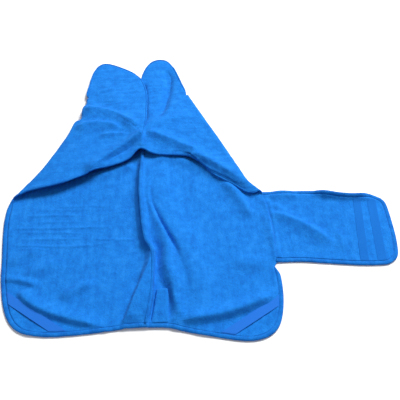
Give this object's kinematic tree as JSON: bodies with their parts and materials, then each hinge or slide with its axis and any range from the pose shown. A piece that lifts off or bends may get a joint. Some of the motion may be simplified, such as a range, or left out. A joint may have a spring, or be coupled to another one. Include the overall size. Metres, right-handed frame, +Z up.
{
  "type": "pet drying robe",
  "caption": "Towelling pet drying robe laid open flat, chest wings folded over the back, rounded collar tabs, side belly belt with hook tape, bound edges and leg elastics.",
  "frame": {"origin": "centre of the bounding box in plan, on the surface the robe lies on", "axes": "+Y from the hem to the collar tabs, +X towards the belly belt, +Z up from the surface"},
  "size_m": [0.8062, 0.8202, 0.0371],
  "materials": {
    "towelling": "matt short-pile microfibre towelling",
    "binding": "matt folded edge binding of the same towelling",
    "hook_tape": "dense low hooks on a woven ground",
    "elastic": "woven ribbed elastic, slight sheen"
  },
  "bodies": {
    "root": {"left_back": "towelling", "left_chest_wing": "towelling", "right_back": "towelling", "right_chest_wing": "towelling", "belly_belt": "towelling", "hem_tab": "towelling", "edge_binding_left": "binding", "hem_binding_right": "binding", "chest_binding_right": "binding", "collar_binding_left": "binding", "collar_binding_right": "binding", "belt_binding": "binding", "centre_seam_welt": "binding", "hook_strip_inner": "hook_tape", "hook_strip_outer": "hook_tape", "leg_elastic_left": "elastic", "leg_elastic_right": "elastic"}
  },
  "joints": []
}
